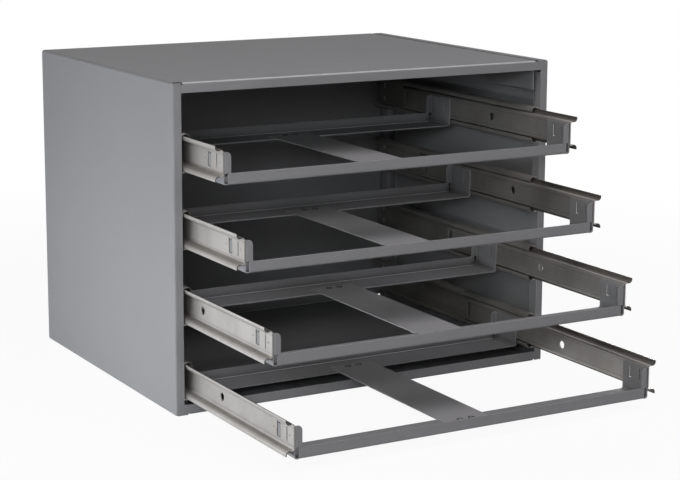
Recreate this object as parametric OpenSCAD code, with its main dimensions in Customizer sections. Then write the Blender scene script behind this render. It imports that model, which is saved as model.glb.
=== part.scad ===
// Drawer rack: a sheet steel cabinet with four pull-out carriers on ball-bearing slides.
// Millimetres. +Z is up, the open front faces -Y, and the origin is the centre of the base.
// Every slide is drawn on the left side, where its own u runs inward from the post face.

/* [Cabinet] */
// Outside width
cabinet_w = 508; // [490:1:530]
// Outside depth, front to back
cabinet_d = 400; // [399:1:404]
// Outside height
cabinet_h = 381; // [374:1:400]
// Thickness of all the sheet steel
sheet_t = 1.2; // [1:0.05:1.3]
// Outside radius of the bends along the cabinet's edges
edge_r = 3; // [2.5:0.1:3.5]
// Width of the jamb at each side of the opening
jamb_w = 11.1; // [10:0.1:13]
// Depth of the box section folded behind each jamb
post_d = 16; // [14:0.5:18]
// Outside radius of the bends of the front and rear posts
post_r = 2; // [1.8:0.1:2.4]
// Height at which the posts start, and their distance from the top
post_end_z = 15; // [14:0.5:16]
// Height of the lips above and below the opening
front_lip_h = 12; // [10:0.5:12.5]
// Width of the flanges round the back panel
rear_flange_w = 12; // [10:0.5:16]
// Width of the flange beside each long seam
seam_flange_w = 16; // [14.5:0.5:18]
// Groove left open along each long seam
seam_gap = 0.5; // [0.3:0.1:1]
// Depth of the flange that stiffens the top sheet's seam
top_seam_flange = 37; // [20:1:40]
// Height of the flange that stiffens the bottom sheet's seam
bottom_seam_flange = 14; // [8:0.5:14]
// Distance from the cabinet's middle to the middle of each rear post
rear_post_y = 170; // [140:1:174]

/* [Slides] */
// Height of the lowest slide's centre line
lowest_slide_z = 39.2; // [38.9:0.1:41]
// Distance from one slide's centre line to the next
slide_pitch = 87.3; // [80:0.1:87.6]
// Thickness of a slide, from the post face to the carrier
slide_w = 12.7; // [12.6:0.1:13.4]
// Length of the cabinet half of a slide
cabinet_slide_len = 382; // [370:1:386]
// Length of the drawer half's web
drawer_slide_len = 382; // [375:1:384]
// How far the drawer half's races run on behind its web
race_overrun = 12; // [8:1:12]
// Full travel of a carrier
full_travel = 286; // [250:1:288]
// Diameter of the bearing balls
ball_d = 6; // [5.9:0.05:6.05]
// Running clearance between a ball and its races
ball_clearance = 0.06; // [0.04:0.01:0.09]
// Distance from the post face to the ball centres
ball_u = 6.6; // [6.55:0.05:6.7]
// Height of the ball centres above and below the slide's centre line
ball_v = 17.9; // [17.7:0.1:18.1]
// Balls in one row
balls_per_row = 7; // [4:1:8]
// Distance between two balls in a row
ball_pitch = 12.5; // [9:0.5:12.5]
// Thickness of the strip that the ball cages are bent from
cage_t = 0.4; // [0.35:0.05:0.45]

/* [Carriers] */
// Depth of a carrier, from its front face to its rear face
carrier_d = 308; // [290:1:320]
// Depth of the ledges that a box rests on
ledge_d = 44.5; // [42:0.5:45]
// Height of the lip in front of the ledge
carrier_lip_h = 12.7; // [10:0.1:12.8]
// Height of the ledge's underside below the slide's centre line
ledge_drop = 24.2; // [24:0.1:24.2]
// Height of the end brackets above the slide's centre line
bracket_rise = 12; // [10:0.5:13]
// Outside radius of the bend between ledge and end bracket
bracket_bend_r = 3; // [2.5:0.1:3.2]
// Width of the relief notch at each end of the lip
corner_notch_w = 5; // [4.5:0.1:5.5]
// Width of the tab folded inward at each bracket's end
end_tab_w = 9.2; // [8:0.1:11]
// Width of the centre strap
strap_w = 58; // [40:1:70]
// Distance from a carrier's faces to the ends of its strap
strap_inset = 22.5; // [18:0.5:26]

/* [Pose] */
// How far the top carrier is pulled out
pull_1 = 81.5; // [0:0.5:286]
// How far the second carrier is pulled out
pull_2 = 132; // [0:0.5:286]
// How far the third carrier is pulled out
pull_3 = 195; // [0:0.5:286]
// How far the bottom carrier is pulled out
pull_4 = 242.5; // [0:0.5:286]

/* [Hidden] */
$fn = 48;
level_count = 4;
pulls = [pull_1, pull_2, pull_3, pull_4];
side_names = ["left", "right"];

// Cabinet
half_w = cabinet_w / 2;
half_d = cabinet_d / 2;
edge_inside_r = edge_r - sheet_t;
post_inside_r = post_r - sheet_t;
bend_start_x = half_w - edge_r;
bend_start_y = half_d - edge_r;
bend_start_z = cabinet_h - edge_r;
wall_x = half_w - sheet_t;
post_face_x = half_w - jamb_w;
seam_x = half_w - seam_flange_w - seam_gap;
seam_bend_start_x = seam_x - edge_r;
butt_gap = 0.3;
corner_gap = 0.2;
corner_notch_h = 1;
slit_len = 10;
slit_d = 4;
rear_flange_end_x = half_w - rear_flange_w - butt_gap;
rear_post_flange = 8;
rear_post_face = 12;
// The slot in the post face above the top slide
post_slot_y = half_d - 15;
post_slot_w = 3.4;
post_slot_h = 15;
post_slot_rise = 27;

// Slides
slide_front_y = 2 - half_d;
ball_r = ball_d / 2;
race_r = ball_r + ball_clearance;
race_outside_r = race_r + sheet_t;
race_lip = 1.75;
channel_corner_r = 1.5;
cabinet_arch_flat = ball_u - sheet_t - channel_corner_r;
cabinet_web_h = 2 * (ball_v + race_r - channel_corner_r);
drawer_web_bend_r = 1.6;
drawer_web_h = 2 * (ball_v - race_outside_r - drawer_web_bend_r);
drawer_shelf_w = slide_w - sheet_t - drawer_web_bend_r - ball_u;
web_hole_r = 4.7;
web_hole_y = 166.5;
pilot_hole_r = 0.8;
pilot_hole_y = [8.2, 43];
rear_slot_w = 6.5;
rear_slot_h = 19;
rear_slot_inset = 7;
rivet_r = 2;
rivet_head_r = 3.2;
rivet_tail = 1.1;
rivet_clearance = 0.05;
rivet_v = 9;
rivet_front_y = 8 - half_d;

// Ball cages
cage_web_u = 1.5;
cage_inside_r = 0.6;
cage_outside_r = cage_inside_r + cage_t;
cage_tip_u = ball_u + 0.8;
cage_top_v = ball_v + 2.55;
cage_end_margin = 8.5;
cage_len = (balls_per_row - 1) * ball_pitch + 2 * cage_end_margin;
cage_hole_r = ball_r * 0.8;
cage_window_w = 30;
cage_window_h = 16;
// The cage's place with the carrier closed keeps both its ends in the races over the whole travel
cage_front_limit = slide_front_y + full_travel / 2;
cage_rear_limit = slide_front_y + drawer_slide_len + race_overrun - full_travel / 2;
cage_closed_y = (cage_front_limit + cage_rear_limit - cage_len) / 2;

// Carriers
bracket_x = post_face_x - slide_w;
lip_half_w = bracket_x - corner_notch_w;
ledge_top_v = sheet_t - ledge_drop;
lip_bend_r = 2.2;
lip_inside_r = lip_bend_r - sheet_t;
bracket_d = 45;
end_tab_bottom_v = carrier_lip_h - ledge_drop + 0.2;
end_tab_corner_r = 5.5;
end_tab_bend_r = 2.9;
end_tab_inside_r = end_tab_bend_r - sheet_t;
end_tab_start_y = end_tab_bend_r + 0.2;
bracket_front_y = 0.4;
weld_mark_r = 2.5;
weld_mark_depth = 0.3;
weld_mark_x = 7.5;
weld_mark_y = 30;

// The spring tab of a bracket sits in a slot of the drawer slide, and the lock tab in a slit
tab_mid_v = 0.5;
spring_tab_y = 28.6;
spring_tab_tip_y = 33.6;
spring_tab_h = 13.2;
joggle_r = 0.4;
joggle_turn = 45;
joggle_run = (sheet_t - (sheet_t + 2 * joggle_r) * (1 - cos(joggle_turn))) / sin(joggle_turn);
joggle_len = (sheet_t + 2 * joggle_r) * sin(joggle_turn) + joggle_run * cos(joggle_turn);
web_slot_h = 16.5;
web_slot_start_y = 28.4;
web_slot_end_y = 37.1;
lock_tab_y = 13.7;
lock_tab_h = 13;
lock_bend_r = 0.3;
lock_tab_reach = 1.4;
lock_tab_front_y = lock_tab_y + lock_bend_r;
lock_tab_clearance = 0.2;
tab_gap = 0.3;
spring_window_end_y = spring_tab_tip_y + tab_gap;
lock_window_end_y = lock_tab_front_y + sheet_t + tab_gap;

painted_grey = [0.49, 0.51, 0.52];
zinc = [0.66, 0.65, 0.63];
steel = [0.75, 0.75, 0.76];

function slide_z(level) = lowest_slide_z + (level_count - level) * slide_pitch;
function side_of(name) = name == "left" ? -1 : 1;
function carrier_y(level) = slide_front_y - pulls[level - 1];
function cage_y(level) = cage_closed_y - pulls[level - 1] / 2;
function ball_y(i) = cage_end_margin + i * ball_pitch;

// A box between two corners
module block(low, high) {
    translate(low) cube(high - low);
}

// An outline pushed out along an axis, from one coordinate to another
module along_x(from, to) {
    translate([from, 0, 0]) rotate([90, 0, 90]) linear_extrude(to - from) children();
}

module along_y(from, to) {
    translate([0, to, 0]) rotate([90, 0, 0]) linear_extrude(to - from) children();
}

module along_z(from, to) {
    translate([0, 0, from]) linear_extrude(to - from) children();
}

// Left-side geometry as it is, or mirrored to the right side
module on_side(side) {
    if (side < 0) children();
    else mirror([1, 0, 0]) children();
}

// A slide's own place: u runs inward from the post face, v up from its centre line
module at_slide(side, level) {
    on_side(side) translate([-post_face_x, 0, slide_z(level)]) children();
}

module ring_sector(inside_r, outside_r, from_deg, to_deg) {
    reach = 2 * outside_r;
    corners = [for (i = [0 : 4]) from_deg + i * (to_deg - from_deg) / 4];
    intersection() {
        difference() {
            circle(r = outside_r);
            circle(r = inside_r);
        }
        polygon([[0, 0], for (deg = corners) reach * [cos(deg), sin(deg)]]);
    }
}

// A bent strip seen edge on. It starts along +X with its thickness on the left of its path.
// Each step is a straight run, the turn after it (left is positive), and the bend's inside radius.
module strip(steps, thickness = sheet_t, i = 0) {
    run = steps[i][0];
    turn = steps[i][1];
    inside_r = steps[i][2];
    outside_r = inside_r + thickness;
    if (run > 0) square([run, thickness]);
    if (i < len(steps) - 1) {
        if (turn > 0) {
            translate([run, outside_r]) {
                ring_sector(inside_r, outside_r, -90, turn - 90);
                rotate(turn) translate([0, -outside_r]) strip(steps, thickness, i + 1);
            }
        } else {
            translate([run, -inside_r]) {
                ring_sector(inside_r, outside_r, 90 + turn, 90);
                rotate(turn) translate([0, inside_r]) strip(steps, thickness, i + 1);
            }
        }
    }
}

// The wrap round one side and the top, with a narrow flange at the bottom and one down the seam
module shell_outline(seam_flange) {
    translate([seam_flange_w - half_w, sheet_t]) rotate(180) strip([
        [seam_flange_w - edge_r, -90, edge_inside_r],
        [cabinet_h - 2 * edge_r, -90, edge_inside_r],
        [half_w + seam_x - 2 * edge_r, -90, edge_inside_r],
        [seam_flange - edge_r, 0, 0]
    ]);
}

// The side's front edge: a bend into the jamb face alone, or on round into a box section
module jamb_outline() {
    translate([-half_w, -bend_start_y]) rotate(-90) strip([
        [0, 90, edge_inside_r],
        [jamb_w - edge_r, 0, 0]
    ]);
}

module front_post_outline() {
    translate([-half_w, -bend_start_y]) rotate(-90) strip([
        [0, 90, edge_inside_r],
        [jamb_w - edge_r - post_r, 90, post_inside_r],
        [post_d - 2 * post_r, 90, post_inside_r],
        [jamb_w - post_r - sheet_t - butt_gap, 0, 0]
    ]);
}

module rear_flange_outline() {
    translate([-half_w, bend_start_y]) mirror([0, 1]) rotate(-90) strip([
        [0, 90, edge_inside_r],
        [rear_flange_w - edge_r, 0, 0]
    ]);
}

// The top sheet's front or rear edge, bent down
module top_edge_outline(flange) {
    translate([-bend_start_y, cabinet_h]) rotate(180) strip([
        [0, 90, edge_inside_r],
        [flange - edge_r, 0, 0]
    ]);
}

module top_edges() {
    lip_end_x = post_face_x - butt_gap;
    inner_y = half_d - sheet_t;
    along_x(slit_len - bend_start_x, seam_bend_start_x) top_edge_outline(front_lip_h);
    block([-lip_end_x, -half_d, cabinet_h - front_lip_h], [lip_end_x, -inner_y, bend_start_z]);
    block([seam_bend_start_x, -half_d, bend_start_z], [lip_end_x, -inner_y, cabinet_h - sheet_t - corner_gap]);
    along_x(-rear_flange_end_x, seam_bend_start_x) mirror([1, 0]) top_edge_outline(rear_flange_w);
    block([seam_bend_start_x, inner_y, cabinet_h - rear_flange_w], [rear_flange_end_x, half_d, bend_start_z]);
}

// One folded shell. The cabinet is two of them, the second turned half over.
module cabinet_shell(seam_flange) {
    difference() {
        union() {
            along_y(-bend_start_y, bend_start_y) shell_outline(seam_flange);
            along_z(sheet_t + corner_gap, cabinet_h - corner_notch_h) jamb_outline();
            along_z(post_end_z, cabinet_h - post_end_z) front_post_outline();
            along_z(edge_r, bend_start_z) rear_flange_outline();
            top_edges();
            block([-bend_start_x, corner_gap - half_d, 0], [seam_flange_w - half_w, -bend_start_y, sheet_t]);
        }
        // Slit behind the corner, and the end of the seam flange
        block([-bend_start_x, -bend_start_y - 1, bend_start_z + 1],
              [slit_len - bend_start_x, slit_d - bend_start_y, cabinet_h + 1]);
        block([seam_bend_start_x - 1, -bend_start_y - 1, cabinet_h - seam_flange - 1],
              [seam_x + 1, slit_d - bend_start_y, bend_start_z]);
    }
}

// Holes for the slide rivets through one side's posts
module rivet_holes(side) {
    for (level = [1 : level_count], y = [rivet_front_y, rear_post_y], v = [-rivet_v, rivet_v]) {
        at_slide(side, level) translate([-2 * sheet_t, y, v]) rotate([0, 90, 0])
            cylinder(r = rivet_r + rivet_clearance, h = 3 * sheet_t);
    }
}

module post_slot(side) {
    at_slide(side, 1) block([-post_r - 1, -post_slot_y - post_slot_w, post_slot_rise],
                            [1, -post_slot_y, post_slot_rise + post_slot_h]);
}

module left_top_shell() {
    color(painted_grey) difference() {
        cabinet_shell(top_seam_flange);
        rivet_holes(-1);
        post_slot(-1);
    }
}

module right_bottom_shell() {
    color(painted_grey) difference() {
        translate([0, 0, cabinet_h]) rotate([0, 180, 0]) cabinet_shell(bottom_seam_flange);
        rivet_holes(1);
        post_slot(1);
    }
}

// The back panel lies inside the rear flanges, between the inside faces of the bends
module back_panel() {
    panel_half_w = bend_start_x - corner_gap;
    color(painted_grey) block([-panel_half_w, half_d - 2 * sheet_t, edge_r + corner_gap],
                              [panel_half_w, half_d - sheet_t, bend_start_z - corner_gap]);
}

// A hat section on the side wall, level with the box section at the front
module rear_post(side) {
    leg = jamb_w - 3 * sheet_t - 2 * post_inside_r;
    start_y = rear_post_y + rear_post_flange + sheet_t + 2 * post_inside_r + rear_post_face / 2;
    color(painted_grey) difference() {
        on_side(side) along_z(post_end_z, cabinet_h - post_end_z)
            translate([-wall_x, start_y]) rotate(-90) strip([
                [rear_post_flange, 90, post_inside_r],
                [leg, -90, post_inside_r],
                [rear_post_face, -90, post_inside_r],
                [leg, 90, post_inside_r],
                [rear_post_flange, 0, 0]
            ]);
        rivet_holes(side);
    }
}

// A flush rivet: its cone sits in the slide's web, its tail behind the post
module slide_rivet() {
    cone_h = rivet_head_r - rivet_r;
    rotate([0, 90, 0]) {
        translate([0, 0, sheet_t - cone_h]) cylinder(r1 = rivet_r, r2 = rivet_head_r, h = cone_h);
        translate([0, 0, -sheet_t]) cylinder(r = rivet_r, h = 2 * sheet_t - cone_h);
        translate([0, 0, -sheet_t - rivet_tail]) cylinder(r = rivet_head_r, h = rivet_tail);
    }
}

module slide_rivets() {
    color(steel) for (side = [-1, 1], level = [1 : level_count], y = [rivet_front_y, rear_post_y],
                      v = [-rivet_v, rivet_v]) {
        at_slide(side, level) translate([0, y, v]) slide_rivet();
    }
}

// The countersunk hole that a rivet's cone sits in
module countersink() {
    cone_h = rivet_head_r - rivet_r;
    rotate([0, 90, 0]) {
        translate([0, 0, sheet_t - cone_h]) cylinder(r1 = rivet_r + rivet_clearance,
                                                     r2 = rivet_head_r + rivet_clearance, h = cone_h);
        translate([0, 0, -sheet_t]) cylinder(r = rivet_r + rivet_clearance, h = 3 * sheet_t);
    }
}

// The cabinet half of a slide: a channel with an arched race over each row of balls
module cabinet_slide(side, level) {
    color(zinc) at_slide(side, level) difference() {
        along_y(slide_front_y, slide_front_y + cabinet_slide_len)
            translate([ball_u + race_outside_r, ball_v - race_lip]) rotate(90) strip([
                [race_lip, 90, race_r],
                [cabinet_arch_flat, 90, channel_corner_r],
                [cabinet_web_h, 90, channel_corner_r],
                [cabinet_arch_flat, 90, race_r],
                [race_lip, 0, 0]
            ]);
        for (y = [rivet_front_y, rear_post_y], v = [-rivet_v, rivet_v]) {
            translate([0, y, v]) countersink();
        }
    }
}

// A slot right through a drawer slide's web
module web_slot(from_y, to_y, height) {
    block([slide_w - sheet_t - 1, from_y, tab_mid_v - height / 2], [slide_w + 1, to_y, tab_mid_v + height / 2]);
}

// The drawer half of a slide: a web with a trough-shaped race under each row of balls
module drawer_slide(side, level) {
    race_len = drawer_slide_len + race_overrun;
    color(zinc) at_slide(side, level) translate([0, carrier_y(level), 0]) difference() {
        along_y(0, race_len)
            translate([ball_u - race_outside_r, ball_v + race_lip]) rotate(-90) strip([
                [race_lip, 90, race_r],
                [drawer_shelf_w, -90, drawer_web_bend_r],
                [drawer_web_h, -90, drawer_web_bend_r],
                [drawer_shelf_w, 90, race_r],
                [race_lip, 0, 0]
            ]);
        // Behind the web only the two races run on
        block([ball_u + drawer_shelf_w, drawer_slide_len, -ball_v], [slide_w + 1, race_len + 1, ball_v]);
        // Slots and slits for the tabs of both rails
        for (rail = [0, 1]) translate([0, rail * carrier_d, 0]) mirror([0, rail, 0]) {
            web_slot(web_slot_start_y, web_slot_end_y, web_slot_h);
            web_slot(lock_tab_front_y - lock_tab_clearance,
                     lock_tab_front_y + sheet_t + lock_tab_clearance, web_slot_h);
        }
        translate([0, drawer_slide_len - rear_slot_inset - rear_slot_w, 0]) web_slot(0, rear_slot_w, rear_slot_h);
        for (y = pilot_hole_y) translate([0, y, tab_mid_v]) rotate([0, 90, 0])
            cylinder(r = pilot_hole_r, h = slide_w + 1);
        translate([0, web_hole_y, tab_mid_v]) rotate([0, 90, 0]) cylinder(r = web_hole_r, h = slide_w + 1);
    }
}

// A cage of thin strip with a round pocket for every ball, open at the strip's edge
module ball_cage(side, level) {
    arm = cage_tip_u - cage_web_u - cage_outside_r;
    color(steel) at_slide(side, level) translate([0, cage_y(level), 0]) difference() {
        along_y(0, cage_len)
            translate([cage_tip_u, cage_top_v]) rotate(180) strip([
                [arm, 90, cage_inside_r],
                [2 * (cage_top_v - cage_outside_r), 90, cage_inside_r],
                [arm, 0, 0]
            ], cage_t);
        for (i = [0 : balls_per_row - 1]) {
            translate([ball_u, ball_y(i), -cage_top_v - 1]) cylinder(r = cage_hole_r, h = 2 * cage_top_v + 2);
        }
        translate([0, cage_len / 2, 0]) block([0, -cage_window_w / 2, -cage_window_h / 2],
                                              [cage_web_u + cage_t + 1, cage_window_w / 2, cage_window_h / 2]);
    }
}

module bearing_balls(side, level) {
    color(steel) at_slide(side, level) for (i = [0 : balls_per_row - 1], v = [-ball_v, ball_v]) {
        translate([ball_u, cage_y(level) + ball_y(i), v]) sphere(r = ball_r);
    }
}

// The lip and ledge of a rail, seen from its end
module ledge_outline() {
    translate([ledge_d, ledge_top_v]) rotate(180) strip([
        [ledge_d - lip_bend_r, -90, lip_inside_r],
        [carrier_lip_h - lip_bend_r, 0, 0]
    ]);
}

// The ledge's end turned up into the end bracket
module bracket_outline() {
    translate([-lip_half_w, ledge_top_v]) rotate(180) strip([
        [corner_notch_w - bracket_bend_r, -90, bracket_bend_r - sheet_t],
        [ledge_drop + bracket_rise - bracket_bend_r, 0, 0]
    ]);
}

// The bracket's front edge turned inward, seen from above
module end_tab_outline() {
    translate([-bracket_x, end_tab_start_y]) rotate(-90) strip([
        [end_tab_start_y - end_tab_bend_r, 90, end_tab_inside_r],
        [end_tab_w - end_tab_bend_r, 0, 0]
    ]);
}

module end_tab() {
    tip_x = end_tab_w - bracket_x;
    difference() {
        along_z(end_tab_bottom_v, bracket_rise) end_tab_outline();
        along_y(-1, end_tab_start_y + 1) difference() {
            translate([tip_x - end_tab_corner_r, bracket_rise - end_tab_corner_r])
                square(end_tab_corner_r + 1);
            translate([tip_x - end_tab_corner_r, bracket_rise - end_tab_corner_r]) circle(r = end_tab_corner_r);
        }
    }
}

// An opening cut through the end bracket close round one of its tabs
module tab_window(from_y, to_y, tab_h) {
    half_h = tab_h / 2 + tab_gap;
    block([-bracket_x - 1, from_y, tab_mid_v - half_h], [sheet_t + 1 - bracket_x, to_y, tab_mid_v + half_h]);
}

module spring_tab() {
    along_z(tab_mid_v - spring_tab_h / 2, tab_mid_v + spring_tab_h / 2)
        translate([sheet_t - bracket_x, spring_tab_y]) rotate(90) strip([
            [0, joggle_turn, joggle_r],
            [joggle_run, -joggle_turn, joggle_r],
            [spring_tab_tip_y - spring_tab_y - joggle_len, 0, 0]
        ]);
}

module lock_tab() {
    along_z(tab_mid_v - lock_tab_h / 2, tab_mid_v + lock_tab_h / 2)
        translate([sheet_t - bracket_x, lock_tab_y]) rotate(90) strip([
            [0, 90, lock_bend_r],
            [lock_tab_reach, 0, 0]
        ]);
}

// The bracket's side, whose front edge steps back where the end tab is folded from it
module bracket_plate() {
    difference() {
        along_y(bracket_front_y, bracket_d) bracket_outline();
        block([-bracket_x - 1, bracket_front_y - 1, end_tab_bottom_v - butt_gap],
              [sheet_t + 1 - bracket_x, end_tab_start_y, bracket_rise + 1]);
    }
}

module end_bracket() {
    difference() {
        union() {
            bracket_plate();
            end_tab();
        }
        tab_window(spring_tab_y, spring_window_end_y, spring_tab_h);
        tab_window(lock_tab_y, lock_window_end_y, lock_tab_h);
    }
    spring_tab();
    lock_tab();
}

// A rail is one folded sheet: ledge, lip, and a bracket at each end
module rail() {
    along_x(-lip_half_w, lip_half_w) ledge_outline();
    for (side = [-1, 1]) on_side(side) end_bracket();
}

module front_rail(level) {
    color(painted_grey) translate([0, carrier_y(level), slide_z(level)]) rail();
}

module back_rail(level) {
    color(painted_grey) translate([0, carrier_y(level) + carrier_d, slide_z(level)]) mirror([0, 1, 0]) rail();
}

// The strap lies on both ledges and is spot welded to them
module centre_strap(level) {
    color(painted_grey) translate([0, carrier_y(level), slide_z(level)]) difference() {
        block([-strap_w / 2, strap_inset, ledge_top_v],
              [strap_w / 2, carrier_d - strap_inset, ledge_top_v + sheet_t]);
        for (x = [-weld_mark_x, weld_mark_x], y = [weld_mark_y, carrier_d - weld_mark_y]) {
            translate([x, y, ledge_top_v + sheet_t - weld_mark_depth]) cylinder(r = weld_mark_r, h = 1);
        }
    }
}

left_top_shell();
right_bottom_shell();
back_panel();
slide_rivets();
for (side_name = side_names) {
    rear_post(side_of(side_name));
}
for (level = [1 : level_count]) {
    front_rail(level);
    back_rail(level);
    centre_strap(level);
    for (side_name = side_names) {
        tail = str("_", level, "_", side_name);
        side = side_of(side_name);
        cabinet_slide(side, level);
        drawer_slide(side, level);
        ball_cage(side, level);
        bearing_balls(side, level);
    }
}
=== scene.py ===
"""Looks of the drawer rack: a painted sheet steel cabinet with four carriers on ball-bearing slides.

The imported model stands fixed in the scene. Everything is in its frame and in metres: +Z is up, the
open front faces -Y, and the origin is the centre of the base.
"""

import logging
import math
from dataclasses import dataclass
from enum import Enum
from typing import Any, Union

import bmesh
import bpy
from mathutils import Matrix, Vector


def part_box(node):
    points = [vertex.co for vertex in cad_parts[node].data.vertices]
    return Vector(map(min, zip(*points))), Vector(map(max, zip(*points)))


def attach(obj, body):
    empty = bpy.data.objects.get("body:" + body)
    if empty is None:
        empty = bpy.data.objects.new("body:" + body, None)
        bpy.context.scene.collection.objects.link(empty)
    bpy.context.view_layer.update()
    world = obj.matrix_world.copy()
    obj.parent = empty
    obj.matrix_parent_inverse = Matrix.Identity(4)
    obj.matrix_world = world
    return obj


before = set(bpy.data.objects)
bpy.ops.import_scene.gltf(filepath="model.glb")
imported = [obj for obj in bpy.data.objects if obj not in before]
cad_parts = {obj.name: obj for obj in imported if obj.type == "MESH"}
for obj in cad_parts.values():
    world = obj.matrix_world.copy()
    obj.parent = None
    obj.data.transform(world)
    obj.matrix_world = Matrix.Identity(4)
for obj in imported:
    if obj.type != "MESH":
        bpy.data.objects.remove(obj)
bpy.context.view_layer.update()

LOG = logging.getLogger("drawer_rack")
IMAGE_WIDTH = 680
SENSOR_WIDTH = 36.0
LEVELS = (1, 2, 3, 4)
MERGE_WITHIN = 1e-6
MIX_SHARE, MIX_FIRST, MIX_SECOND, MIX_RESULT = 0, 6, 7, 2
BEVEL_SAMPLES = 4
EDGE_TURN = (0.01, 0.16)
HOLLOW_SAMPLES = 6
HOLLOW_OPENNESS = (0.35, 0.80)
FOLD_SLOPE = (0.60, 0.97)

Colour = tuple[float, float, float]
Place = tuple[float, float, float]


class Side(Enum):
    """The two hands of a slide, with their direction along X."""

    LEFT = -1
    RIGHT = 1

    @property
    def word(self) -> str:
        """The word that the node names end with."""
        return self.name.lower()


class Along(Enum):
    """The axis that a rolled or drawn grain runs along."""

    X = 0
    Y = 1
    Z = 2


def linear(colour: Colour) -> tuple[float, float, float, float]:
    """Turns a colour as it is seen on a screen into Blender's linear one.

    Args:
        colour: Red, green and blue from 0 to 1, as seen.

    Returns:
        The linear red, green and blue, and an alpha of 1.
    """
    red, green, blue = (c / 12.92 if c <= 0.04045 else ((c + 0.055) / 1.055) ** 2.4 for c in colour)
    return red, green, blue, 1.0


class Wire:
    """An output socket that stands in arithmetic. Every operator adds its Math node."""

    def __init__(self, graph: "Graph", socket: bpy.types.NodeSocket) -> None:
        """Wraps a socket.

        Args:
            graph: The graph that the socket belongs to.
            socket: The output socket.
        """
        self.graph = graph
        self.socket = socket

    def __add__(self, other: "Number") -> "Wire":
        """Sum."""
        return self.graph.math("ADD", self, other)

    def __radd__(self, other: "Number") -> "Wire":
        """Sum with a plain number on the left."""
        return self.graph.math("ADD", other, self)

    def __sub__(self, other: "Number") -> "Wire":
        """Difference."""
        return self.graph.math("SUBTRACT", self, other)

    def __rsub__(self, other: "Number") -> "Wire":
        """Difference with a plain number on the left."""
        return self.graph.math("SUBTRACT", other, self)

    def __mul__(self, other: "Number") -> "Wire":
        """Product."""
        return self.graph.math("MULTIPLY", self, other)

    def __truediv__(self, other: "Number") -> "Wire":
        """Quotient."""
        return self.graph.math("DIVIDE", self, other)

    def at_most(self, other: "Number") -> "Wire":
        """The lower of the two."""
        return self.graph.math("MINIMUM", self, other)

    def at_least(self, other: "Number") -> "Wire":
        """The higher of the two."""
        return self.graph.math("MAXIMUM", self, other)

    def rise(self, start: float, end: float, low: float = 0.0, high: float = 1.0) -> "Wire":
        """Rises smoothly from low to high while this value goes from start to end.

        Args:
            start: The value where the rise starts.
            end: The value where it ends.
            low: The result before start.
            high: The result after end.

        Returns:
            The eased value.
        """
        return self.graph.add(
            "ShaderNodeMapRange",
            {"interpolation_type": "SMOOTHSTEP"},
            {"Value": self, "From Min": start, "From Max": end, "To Min": low, "To Max": high},
        )


Number = Union[Wire, float]


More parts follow.
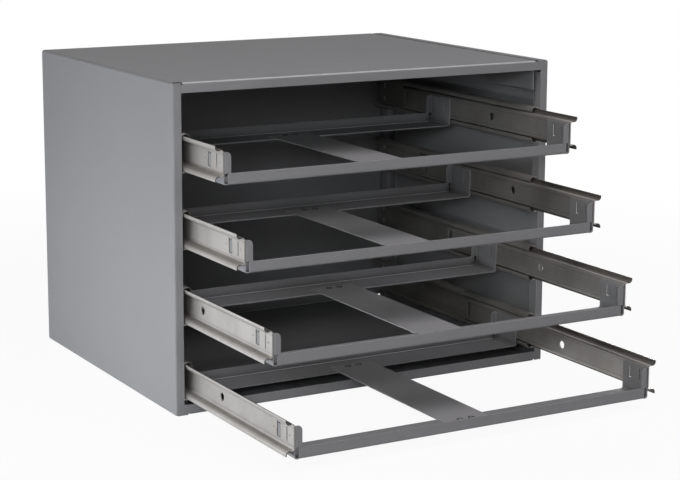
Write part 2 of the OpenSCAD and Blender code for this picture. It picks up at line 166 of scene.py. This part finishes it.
class Graph:
    """The node tree of one material or world."""

    def __init__(self, tree: bpy.types.NodeTree) -> None:
        """Empties the tree.

        Args:
            tree: The node tree to build in.
        """
        self.tree = tree
        tree.nodes.clear()

    def node(self, kind: str, settings: dict[str, Any], inputs: dict[Any, Any]) -> bpy.types.Node:
        """Adds a node of any type.

        Args:
            kind: Blender's name of the node's type.
            settings: The node's own settings, which are set before the sockets.
            inputs: For a socket's name or number, the value or Wire that it gets.

        Returns:
            The node.
        """
        made = self.tree.nodes.new(kind)
        for name, value in settings.items():
            setattr(made, name, value)
        for name, value in inputs.items():
            if isinstance(value, Wire):
                self.tree.links.new(value.socket, made.inputs[name])
            else:
                made.inputs[name].default_value = value
        return made

    def add(self, kind: str, settings: dict[str, Any] | None = None, inputs: dict[Any, Any] | None = None,
            output: str | int = 0) -> Wire:
        """Adds a node and gives one of its outputs.

        Args:
            kind: Blender's name of the node's type.
            settings: As in node().
            inputs: As in node().
            output: The output's name or number.

        Returns:
            The output as a Wire.
        """
        return Wire(self, self.node(kind, settings or {}, inputs or {}).outputs[output])

    def math(self, operation: str, first: Number, second: Number = 0.0) -> Wire:
        """Adds a Math node."""
        return self.add("ShaderNodeMath", {"operation": operation}, {0: first, 1: second})

    def vector(self, operation: str, first: Any, second: Any, output: str = "Vector") -> Wire:
        """Adds a Vector Math node."""
        return self.add("ShaderNodeVectorMath", {"operation": operation}, {0: first, 1: second}, output)

    def place(self) -> Wire:
        """The point's place in the frame."""
        return self.add("ShaderNodeTexCoord", output="Object")

    def axes(self) -> tuple[Wire, Wire, Wire]:
        """The point's X, Y and Z in the frame, one by one."""
        split = self.node("ShaderNodeSeparateXYZ", {}, {"Vector": self.place()})
        return tuple(Wire(self, split.outputs[i]) for i in range(3))

    def noise(self, scale: float | Place, detail: float = 2.0, roughness: float = 0.5,
              start: Place = (0.0, 0.0, 0.0)) -> Wire:
        """Adds a cloud of noise about 0.5.

        Args:
            scale: How many clouds to the metre, the same for all axes or one for each.
            detail: How many finer layers it has.
            roughness: How strong the finer layers are.
            start: Moves the pattern, so that two of them differ.

        Returns:
            The noise.
        """
        stretch = scale if isinstance(scale, tuple) else (scale, scale, scale)
        mapped = self.add("ShaderNodeMapping", {}, {"Vector": self.place(), "Location": start, "Scale": stretch})
        inputs = {"Vector": mapped, "Scale": 1.0, "Detail": detail, "Roughness": roughness}
        return self.add("ShaderNodeTexNoise", {}, inputs)

    def blend(self, share: Number, first: Any, second: Any) -> Wire:
        """Mixes two colours.

        Args:
            share: How much of the second one shows, from 0 to 1.
            first: A colour or Wire.
            second: A colour or Wire.

        Returns:
            The mixed colour.
        """
        inputs = {MIX_SHARE: share, MIX_FIRST: first, MIX_SECOND: second}
        return self.add("ShaderNodeMix", {"data_type": "RGBA"}, inputs, MIX_RESULT)

    def scaled(self, colour: Any, amount: Number) -> Wire:
        """Makes a colour lighter or darker by a factor."""
        factors = self.add("ShaderNodeCombineXYZ", {}, {"X": amount, "Y": amount, "Z": amount})
        return self.vector("MULTIPLY", colour, factors)

    def edges(self, radius: float) -> tuple[Wire, Wire]:
        """Finds the edges of the sheet.

        Args:
            radius: How far the rounding reaches from an edge, in metres.

        Returns:
            The rounded normal, and a mask that is 1 on an edge and 0 on a flat face.
        """
        rounded = self.add("ShaderNodeBevel", {"samples": BEVEL_SAMPLES}, {"Radius": radius}, "Normal")
        flat = self.add("ShaderNodeNewGeometry", output="Normal")
        turned = 1.0 - self.vector("DOT_PRODUCT", rounded, flat, "Value")
        return rounded, turned.rise(*EDGE_TURN)

    def hollow(self, reach: float) -> Wire:
        """Finds the narrow hollows of the piece itself, which are darkened with painted shade.

        Args:
            reach: How far from a point its own sheet still shades it, in metres.

        Returns:
            A mask that is 1 deep inside a hollow.
        """
        settings = {"samples": HOLLOW_SAMPLES, "only_local": True}
        open_share = self.add("ShaderNodeAmbientOcclusion", settings, {"Distance": reach}, "AO")
        return open_share.rise(*HOLLOW_OPENNESS, 1.0, 0.0)

    def fold(self) -> Wire:
        """Finds the folds that turn from the top to the front, which get a painted highlight.

        Returns:
            A mask that is 1 in the middle of such a fold.
        """
        faces = self.add("ShaderNodeTexCoord", output="Normal")
        split = self.node("ShaderNodeSeparateXYZ", {}, {"Vector": faces})
        front, up = Wire(self, split.outputs[1]).at_most(0.0) * -2.0, Wire(self, split.outputs[2]).at_least(0.0)
        return (front * up).rise(*FOLD_SLOPE)

    def bump(self, height: Number, distance: float, strength: float = 1.0, normal: Wire | None = None) -> Wire:
        """Adds a Bump node.

        Args:
            height: The relief from 0 to 1.
            distance: Its real height in metres.
            strength: How much of it shows.
            normal: The normal that it starts from.

        Returns:
            The bumped normal.
        """
        inputs: dict[Any, Any] = {"Height": height, "Distance": distance, "Strength": strength}
        if normal is not None:
            inputs["Normal"] = normal
        return self.add("ShaderNodeBump", {}, inputs)

    def principled(self, **inputs: Any) -> Wire:
        """Adds the surface shader. An underscore in a name stands for a space."""
        return self.add("ShaderNodeBsdfPrincipled", {}, {k.replace("_", " "): v for k, v in inputs.items()})


@dataclass(frozen=True)
class Finish:
    """A finish, which makes its material the first time it is put on."""

    name: str

    def surface(self, graph: Graph) -> Wire:
        """Builds the surface shader and gives its output."""
        raise NotImplementedError

    def material(self) -> bpy.types.Material:
        """Gives the finish's material, and makes it the first time.

        Returns:
            The material.
        """
        made = bpy.data.materials.get(self.name)
        if made is None:
            made = bpy.data.materials.new(self.name)
            made.use_nodes = True
            graph = Graph(made.node_tree)
            graph.node("ShaderNodeOutputMaterial", {}, {"Surface": self.surface(graph)})
        return made

    def put_on(self, piece: bpy.types.Object) -> None:
        """Covers a piece or a CAD node with the finish.

        Args:
            piece: The mesh object to cover.
        """
        if not piece.material_slots:
            piece.data.materials.append(self.material())
        for slot in piece.material_slots:
            slot.material = self.material()


@dataclass(frozen=True)
class PowderCoat(Finish):
    """Satin grey powder coat baked on sheet steel: a fine orange peel, a faint cloud, and thin paint on the edges.

    Worn edges also get a painted highlight, as do the folds to the front; painted shade darkens the seam and
    hollows.
    """

    colour: Colour = (0.54, 0.541, 0.544)
    # Colour of the worn edges, also used for the painted highlight on the edges and on the folds to the front.
    edge_colour: Colour = (0.82, 0.825, 0.83)
    edge_radius: float = 0.0007
    edge_share: float = 0.65
    edge_polish: float = 0.06
    fold_share: float = 0.8
    patch_per_metre: float = 90.0
    patch_steady: float = 0.7
    peel_per_metre: float = 620.0
    peel_height: float = 0.00006
    peel_strength: float = 0.55
    peel_shade: float = 0.10
    speck_finer: float = 3.0
    speck_shade: float = 0.14
    speck_height: float = 0.35
    cloud_per_metre: float = 7.0
    cloud_shade: float = 0.10
    rub_per_metre: Place = (30.0, 30.0, 260.0)
    rub_polish: float = 0.05
    roughness: float = 0.62
    roughness_swing: float = 0.10
    gloss: float = 0.05
    seam_x: float = 0.23775
    seam_half: float = 0.0015
    seam_fade: float = 1.5
    seam_depth: tuple[float, float] = (0.0016, 0.0010)
    # Painted shade: how much darker the seam groove and the narrow hollows are painted.
    seam_dirt: float = 0.6
    hollow_reach: float = 0.014
    hollow_dirt: float = 0.65
    mid_height: float = 0.1905

    def seam(self, graph: Graph) -> Wire:
        """Finds the groove down the top, and the one down the bottom, which is turned half over.

        Args:
            graph: The graph to build in.

        Returns:
            A mask of the two grooves and their lips.
        """
        x, _, z = graph.axes()
        above = z - self.mid_height
        off_seam = graph.math("ABSOLUTE", x * graph.math("SIGN", above) - self.seam_x)
        inside, outside = (self.mid_height - depth for depth in self.seam_depth)
        skin = graph.math("ABSOLUTE", above).rise(inside, outside)
        return off_seam.rise(self.seam_half, self.seam_half * self.seam_fade, 1.0, 0.0) * skin

    def surface(self, graph: Graph) -> Wire:
        """Builds the powder coat's shader.

        Args:
            graph: The graph to build in.

        Returns:
            The shader's output.
        """
        rounded, edge = graph.edges(self.edge_radius)
        cloud = graph.noise(self.cloud_per_metre, 3.0)
        peel = graph.noise(self.peel_per_metre, 2.0, 0.6)
        speck = graph.noise(self.peel_per_metre * self.speck_finer, 1.0, 0.5, (3.0, 1.0, 2.0))
        rub = graph.noise(self.rub_per_metre, 3.0, 0.6, (7.0, 2.0, 5.0)).rise(0.58, 0.72)
        patchy = graph.noise(self.patch_per_metre, 2.0, 0.6, (1.0, 4.0, 9.0)).rise(0.35, 0.62, 0.35, 1.0)
        steady = self.patch_steady + patchy * (1.0 - self.patch_steady)
        # Edges: worn paint with a painted highlight; folds to the front: a painted highlight only.
        wear_and_highlight = (edge * patchy * self.edge_share).at_least(graph.fold() * steady * self.fold_share)
        # Painted shade: the seam groove and the narrow hollows are darkened in the colour.
        painted_shade = (self.seam(graph) * self.seam_dirt).at_least(graph.hollow(self.hollow_reach) * self.hollow_dirt)
        shade = (1.0 + (cloud - 0.5) * self.cloud_shade + (peel - 0.5) * self.peel_shade
                 + (speck - 0.5) * self.speck_shade)
        painted = graph.scaled(linear(self.colour)[:3], shade * (1.0 - painted_shade))
        satin = (self.roughness + (cloud - 0.5) * self.roughness_swing + (speck - 0.5) * self.roughness_swing
                 - rub * self.rub_polish - edge * self.edge_polish)
        relief = peel + speck * self.speck_height
        return graph.principled(
            Base_Color=graph.blend(wear_and_highlight, painted, linear(self.edge_colour)),
            Roughness=satin,
            Specular_IOR_Level=self.gloss,
            Normal=graph.bump(relief, self.peel_height, self.peel_strength, rounded),
        )


@dataclass(frozen=True)
class ZincPlate(Finish):
    """Zinc on cold-rolled strip: drawn lines along the slide, a cloudy haze, two creases and greased ball tracks."""

    colour: Colour = (0.64, 0.628, 0.614)
    haze_colour: Colour = (0.565, 0.55, 0.53)
    haze_per_metre: float = 22.0
    # Colour of the grease in the tracks, also used for the painted shadow lines along the track lips.
    grease_colour: Colour = (0.20, 0.18, 0.155)
    grease_share: float = 0.82
    grease_dulls: float = 0.3
    grain: Along = Along.Y
    lines_per_metre: float = 1500.0
    lines_along: float = 6.0
    lines_shade: float = 0.12
    line_height: float = 0.00002
    line_strength: float = 0.5
    grains_per_metre: float = 420.0
    grains_height: float = 0.5
    metal: float = 0.6
    haze_dulls: float = 0.10
    roughness: float = 0.48
    haze_roughness: float = 0.16
    lines_roughness: float = 0.10
    edge_radius: float = 0.0003
    # Painted highlight on the edges.
    edge_shine: float = 0.12
    edge_polish: float = 0.08
    lowest_slide: float = 0.0392
    slide_pitch: float = 0.0873
    post_face: float = 0.2429
    track_from_post: float = 0.0066
    track_height: float = 0.0179
    track_radius: float = 0.0031
    track_fade: tuple[float, float] = (1.12, 1.28)
    # Where the painted shadow line along each track's lip lies.
    lip_at: float = 1.2
    lip_fade: tuple[float, float] = (0.09, 0.18)
    crease_height: float = 0.0100
    crease_width: float = 0.0006
    crease_fade: tuple[float, float] = (0.3, 0.7)
    # Painted shadow in the crease lines.
    crease_shade: float = 0.38
    crease_depth: float = 6.0

    def track_and_creases(self, graph: Graph) -> tuple[Wire, Wire, Wire]:
        """Finds the ball tracks and the creases of every slide from the point's place.

        Args:
            graph: The graph to build in.

        Returns:
            Masks of the tracks' inside, of the painted shadow lines along their lips, and of the crease lines.
        """
        x, _, z = graph.axes()
        level = (z - self.lowest_slide) / self.slide_pitch + 0.5
        height = graph.math("ABSOLUTE", (graph.math("FRACT", level) - 0.5) * self.slide_pitch)
        from_post = self.post_face - graph.math("ABSOLUTE", x)
        across, along = from_post - self.track_from_post, height - self.track_height
        from_track = graph.math("SQRT", across * across + along * along)
        off_lip = graph.math("ABSOLUTE", from_track - self.track_radius * self.lip_at)
        off_crease = graph.math("ABSOLUTE", height - self.crease_height)
        track = from_track.rise(*(self.track_radius * share for share in self.track_fade), 1.0, 0.0)
        lip_shadow = off_lip.rise(*(self.track_radius * share for share in self.lip_fade), 1.0, 0.0)
        crease = off_crease.rise(*(self.crease_width * share for share in self.crease_fade), 1.0, 0.0)
        return track, lip_shadow, crease

    def surface(self, graph: Graph) -> Wire:
        """Builds the zinc's shader.

        Args:
            graph: The graph to build in.

        Returns:
            The shader's output.
        """
        rounded, edge = graph.edges(self.edge_radius)
        track, lip_shadow, crease = self.track_and_creases(graph)
        stretch = tuple(self.lines_along if axis is self.grain else self.lines_per_metre for axis in Along)
        lines = graph.noise(stretch, 2.0, 0.6)
        haze = graph.noise(self.haze_per_metre, 4.0, 0.6, (2.0, 5.0, 1.0))
        grains = graph.noise(self.grains_per_metre, 2.0, 0.6, (6.0, 3.0, 8.0))
        cover = haze.rise(0.35, 0.7, 0.1, 0.75) + (grains - 0.5) * 0.35
        plain = graph.blend(cover.at_least(0.0).at_most(1.0), linear(self.colour), linear(self.haze_colour))
        # Edges get a painted highlight, and the crease lines a painted shadow.
        shade = 1.0 + (lines - 0.5) * self.lines_shade + edge * self.edge_shine - crease * self.crease_shade
        # Grease darkens the tracks; the lip lines are painted shadow in the same dark colour.
        film = (track * self.grease_share * grains.rise(0.2, 0.7, 0.8, 1.0)).at_least(lip_shadow)
        relief = lines + grains * self.grains_height - crease * self.crease_depth
        return graph.principled(
            Base_Color=graph.blend(film, graph.scaled(plain, shade), linear(self.grease_colour)),
            Metallic=self.metal - haze * self.haze_dulls - track * self.grease_dulls,
            Roughness=(self.roughness + (haze - 0.5) * self.haze_roughness + (lines - 0.5) * self.lines_roughness
                       - edge * self.edge_polish),
            Normal=graph.bump(relief, self.line_height, self.line_strength, rounded),
        )


@dataclass(frozen=True)
class BareSteel(Finish):
    """Oiled bright steel for cages, balls and rivets."""

    colour: Colour = (0.62, 0.615, 0.60)
    oil_colour: Colour = (0.42, 0.39, 0.34)
    oil_share: float = 0.35
    oil_per_metre: float = 160.0
    oil_dulls: float = 0.1
    oil_roughness: float = 0.14
    scratch_per_metre: float = 2400.0
    scratch_longer: float = 0.2
    scratch_shade: float = 0.12
    scratch_height: float = 0.00001
    scratch_strength: float = 0.5
    metal: float = 0.97
    roughness: float = 0.24

    def surface(self, graph: Graph) -> Wire:
        """Builds the steel's shader.

        Args:
            graph: The graph to build in.

        Returns:
            The shader's output.
        """
        across, along = self.scratch_per_metre, self.scratch_per_metre * self.scratch_longer
        scratch = graph.noise((across, along, across), 2.0)
        film = graph.noise(self.oil_per_metre, 3.0, 0.6, (4.0, 4.0, 1.0)).rise(0.4, 0.7)
        colour = graph.blend(film * self.oil_share, linear(self.colour), linear(self.oil_colour))
        return graph.principled(
            Base_Color=graph.scaled(colour, 1.0 + (scratch - 0.5) * self.scratch_shade),
            Metallic=self.metal - film * self.oil_dulls,
            Roughness=self.roughness + film * self.oil_roughness + (scratch - 0.5) * self.scratch_shade,
            Normal=graph.bump(scratch, self.scratch_height, self.scratch_strength),
        )


@dataclass(frozen=True)
class StudioFloor(Finish):
    """A pale floor that the camera and mirrors see as white, with the object's shadow kept."""

    colour: Colour = (0.86, 0.86, 0.86)
    near_white: float = 0.94
    shadow_reach: float = 0.55
    white_reach: float = 1.5

    def surface(self, graph: Graph) -> Wire:
        """Builds the floor's shader.

        Args:
            graph: The graph to build in.

        Returns:
            The shader's output.
        """
        away = graph.vector("LENGTH", graph.place(), (0.0, 0.0, 0.0), "Value")
        share = seen_directly(graph) * away.rise(self.shadow_reach, self.white_reach, self.near_white, 1.0)
        pale = graph.add("ShaderNodeBsdfDiffuse", {}, {"Color": linear(self.colour)})
        white = graph.add("ShaderNodeEmission", {}, {"Strength": 1.0})
        return graph.add("ShaderNodeMixShader", {}, {0: share, 1: pale, 2: white})


def seen_directly(graph: Graph) -> Wire:
    """Tells what is seen from light that falls on the object.

    Args:
        graph: The graph to build in.

    Returns:
        1 for what the camera sees, straight or in a mirror or glass, and 0 for the rest.
    """
    path = graph.node("ShaderNodeLightPath", {}, {})
    camera, glossy, through = (
        Wire(graph, path.outputs[name]) for name in ("Is Camera Ray", "Is Glossy Ray", "Is Transmission Ray")
    )
    return camera.at_least(glossy).at_least(through)


CABINET_PAINT = PowderCoat("cabinet_powder_coat")
CARRIER_PAINT = PowderCoat("carrier_powder_coat", peel_per_metre=680.0, cloud_per_metre=11.0)
# The straps' coat is the carriers' coat painted lighter, as painted light on their upward faces.
LIGHTENED_STRAP_PAINT = PowderCoat("strap_powder_coat_lightened", colour=(0.60, 0.60, 0.602), cloud_per_metre=9.0)
SLIDE_ZINC = ZincPlate("slide_zinc")
CAGE_STEEL = BareSteel("cage_strip_steel", roughness=0.30)
BALL_STEEL = BareSteel("ball_steel", colour=(0.74, 0.74, 0.75), oil_share=0.2, roughness=0.12)
WELD_SCORCH = PowderCoat("weld_scorch", colour=(0.27, 0.265, 0.26), edge_colour=(0.42, 0.42, 0.42), gloss=0.12)
RIVET_STEEL = BareSteel("rivet_steel", colour=(0.66, 0.65, 0.63), roughness=0.34)
FLOOR_WHITE = StudioFloor("studio_floor_white")


def finished_piece(name: str, body: str, shape: bmesh.types.BMesh, finish: Finish) -> bpy.types.Object:
    """Turns a bmesh into a finished piece on a body.

    Args:
        name: The piece's name.
        body: The CAD body that it moves with.
        shape: The bmesh, in the frame. It is used up.
        finish: What it is covered with.

    Returns:
        The piece.
    """
    bmesh.ops.remove_doubles(shape, verts=shape.verts, dist=MERGE_WITHIN)
    bmesh.ops.recalc_face_normals(shape, faces=shape.faces)
    mesh = bpy.data.meshes.new(name)
    shape.to_mesh(mesh)
    shape.free()
    mesh.polygons.foreach_set("use_smooth", [True] * len(mesh.polygons))
    piece = bpy.data.objects.new(name, mesh)
    bpy.context.scene.collection.objects.link(piece)
    finish.put_on(piece)
    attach(piece, body)
    LOG.info("%s: %d faces on %s", name, len(mesh.polygons), body)
    return piece


def dress(finish: Finish, *names: str) -> None:
    """Covers CAD nodes with a finish and reports each.

    Args:
        finish: What they are covered with.
        names: The nodes' names.
    """
    for name in names:
        finish.put_on(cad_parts[name])
        LOG.info("%s: %s", name, finish.name)


@dataclass
class Cabinet:
    """The two folded shells, the back panel, the rear posts and the rivets."""

    shells: tuple[str, ...] = ("left_top_shell", "right_bottom_shell", "back_panel")
    posts: tuple[str, ...] = ("rear_post_left", "rear_post_right")

    def dress(self) -> None:
        """Paints the sheet steel and plates the rivets."""
        dress(CABINET_PAINT, *self.shells, *self.posts)
        dress(RIVET_STEEL, "slide_rivets")


@dataclass
class Slide:
    """One ball-bearing slide: two members, a cage and two rows of balls."""

    level: int
    side: Side

    def dress(self) -> None:
        """Plates the members and brightens the cage and the balls."""
        tail = f"{self.level}_{self.side.word}"
        dress(SLIDE_ZINC, f"cabinet_slide_{tail}", f"drawer_slide_{tail}")
        dress(CAGE_STEEL, f"ball_cage_{tail}")
        dress(BALL_STEEL, f"bearing_balls_{tail}")


@dataclass
class Carrier:
    """A frame that slides out: two rails and the strap spot welded between them."""

    level: int
    weld_apart: float = 0.015
    weld_inset: float = 0.030
    weld_pit_radius: float = 0.0025
    weld_ring_radius: float = 0.0007
    ring_steps: int = 40
    section_steps: int = 10

    def build(self) -> None:
        """Raises the ring of upset metal round each spot weld of the strap."""
        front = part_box(f"front_rail_{self.level}")[0].y
        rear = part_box(f"back_rail_{self.level}")[1].y
        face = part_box(f"centre_strap_{self.level}")[1].z
        shape = bmesh.new()
        for y in (front + self.weld_inset, rear - self.weld_inset):
            for x in (-self.weld_apart / 2, self.weld_apart / 2):
                self.weld_ring(shape, Vector((x, y, face)))
        name = f"strap_weld_rings_{self.level}"
        finished_piece(name, f"carrier_{self.level}", shape, WELD_SCORCH)

    def weld_ring(self, shape: bmesh.types.BMesh, centre: Vector) -> None:
        """Adds one low ring round a weld's pit.

        Args:
            shape: The bmesh to add to.
            centre: The middle of the pit, on the strap's face.
        """
        start = centre + Vector((self.weld_pit_radius + self.weld_ring_radius, 0, 0))
        section = bmesh.ops.create_circle(
            shape,
            segments=self.section_steps,
            radius=self.weld_ring_radius,
            matrix=Matrix.Translation(start) @ Matrix.Rotation(math.radians(90), 4, "X"),
        )["verts"]
        shape.edges.index_update()
        edges = sorted({edge for corner in section for edge in corner.link_edges}, key=lambda edge: edge.index)
        bmesh.ops.spin(shape, geom=[*section, *edges], cent=centre, axis=(0, 0, 1), angle=math.tau,
                       steps=self.ring_steps, use_merge=True)

    def dress(self) -> None:
        """Paints the rails and the strap."""
        dress(CARRIER_PAINT, f"front_rail_{self.level}", f"back_rail_{self.level}")
        dress(LIGHTENED_STRAP_PAINT, f"centre_strap_{self.level}")


@dataclass(frozen=True)
class Softbox:
    """A soft lamp aimed at the object."""

    name: str
    place: Place
    aim: Place
    width: float
    height: float
    level: float
    colour: Colour = (1.0, 1.0, 1.0)

    def light(self) -> None:
        """Hangs the lamp. At level 1, a colour that faces it renders as it is written."""
        lamp = bpy.data.lights.new(self.name, "AREA")
        lamp.shape, lamp.size, lamp.size_y = "RECTANGLE", self.width, self.height
        towards = Vector(self.aim) - Vector(self.place)
        lamp.energy = self.level * math.pi ** 2 * towards.length_squared
        lamp.color = self.colour
        holder = bpy.data.objects.new(self.name, lamp)
        holder.location = self.place
        holder.visible_camera = False
        holder.rotation_euler = towards.to_track_quat("-Z", "Y").to_euler()
        bpy.context.scene.collection.objects.link(holder)


@dataclass
class Studio:
    """The camera, the pale floor, the soft lamps and the white surroundings."""

    focal_pixels: float = 1870.4
    camera_place: Place = (-1.1038, -2.0666, 0.6292)
    azimuth: float = -29.664
    tilt_down: float = 10.463
    roll: float = 0.222
    shift_y: float = -0.06
    floor_half: float = 14.0
    floor_cells: int = 8
    floor_drop: float = 0.0002
    ambient: float = 0.02
    lamps: tuple[Softbox, ...] = (
        Softbox("low_back_softbox", (-0.78, 0.08, 0.03), (-0.25, 0.08, 0.03), 0.5, 0.06, 0.50, (0.90, 0.94, 1.0)),
        Softbox("low_front_softbox", (-0.78, -0.30, 0.03), (-0.25, -0.15, 0.03), 0.5, 0.06, 0.72, (0.90, 0.94, 1.0)),
        Softbox("left_softbox", (-1.6, -1.2, 2.30), (0.0, -0.15, 0.20), 1.8, 1.6, 0.21, (1.0, 0.96, 0.90)),
        Softbox("front_softbox", (-1.55, -2.15, 0.96), (0.0, -0.05, 0.20), 1.1, 0.45, 0.215, (0.93, 0.97, 1.0)),
        Softbox("top_softbox", (0.3, -1.5, 2.60), (0.0, -0.20, 0.15), 2.8, 2.0, 0.49, (0.97, 0.925, 0.985)),
        Softbox("back_softbox", (2.0, 1.7, 0.18), (0.1, 0.1, 0.18), 1.8, 0.3, 1.2),
    )

    def camera(self) -> None:
        """Makes the camera that was fitted to the photograph."""
        eye = bpy.data.cameras.new("photo_camera")
        eye.sensor_width = SENSOR_WIDTH
        eye.lens = SENSOR_WIDTH * self.focal_pixels / IMAGE_WIDTH
        eye.shift_y = self.shift_y
        holder = bpy.data.objects.new("photo_camera", eye)
        holder.location = self.camera_place
        turn = Matrix.Rotation(math.radians(self.azimuth), 4, "Z")
        tilt = Matrix.Rotation(math.radians(90 - self.tilt_down), 4, "X")
        holder.rotation_euler = (turn @ tilt @ Matrix.Rotation(math.radians(self.roll), 4, "Z")).to_euler()
        bpy.context.scene.collection.objects.link(holder)
        bpy.context.scene.camera = holder

    def floor(self) -> None:
        """Lays the floor just under the base."""
        shape = bmesh.new()
        bmesh.ops.create_grid(shape, x_segments=self.floor_cells, y_segments=self.floor_cells, size=self.floor_half,
                              matrix=Matrix.Translation((0, 0, -self.floor_drop)))
        mesh = bpy.data.meshes.new("studio_floor")
        shape.to_mesh(mesh)
        shape.free()
        floor = bpy.data.objects.new("studio_floor", mesh)
        bpy.context.scene.collection.objects.link(floor)
        FLOOR_WHITE.put_on(floor)

    def surroundings(self) -> None:
        """Makes the world: white where it is seen, and a low even light on the object."""
        world = bpy.data.worlds.new("white_surroundings")
        world.use_nodes = True
        bpy.context.scene.world = world
        graph = Graph(world.node_tree)
        even = graph.add("ShaderNodeBackground", {}, {"Strength": self.ambient})
        white = graph.add("ShaderNodeBackground", {}, {"Color": (1, 1, 1, 1), "Strength": 1.0})
        both = graph.add("ShaderNodeMixShader", {}, {0: seen_directly(graph), 1: even, 2: white})
        graph.node("ShaderNodeOutputWorld", {}, {"Surface": both})

    def set_up(self) -> None:
        """Makes the lamps, the floor and the surroundings."""
        bpy.context.scene.view_settings.view_transform = "Standard"
        self.floor()
        self.surroundings()
        for lamp in self.lamps:
            lamp.light()
            LOG.info("%s: level %.2f", lamp.name, lamp.level)


def main() -> None:
    """Builds and dresses the rack, piece by piece."""
    logging.basicConfig(level=logging.INFO, format="%(name)s: %(message)s")
    studio = Studio()
    studio.camera()
    Cabinet().dress()
    for level in LEVELS:
        carrier = Carrier(level)
        carrier.build()
        carrier.dress()
        for side in Side:
            Slide(level, side).dress()
    studio.set_up()


if __name__ == "__main__":
    main()
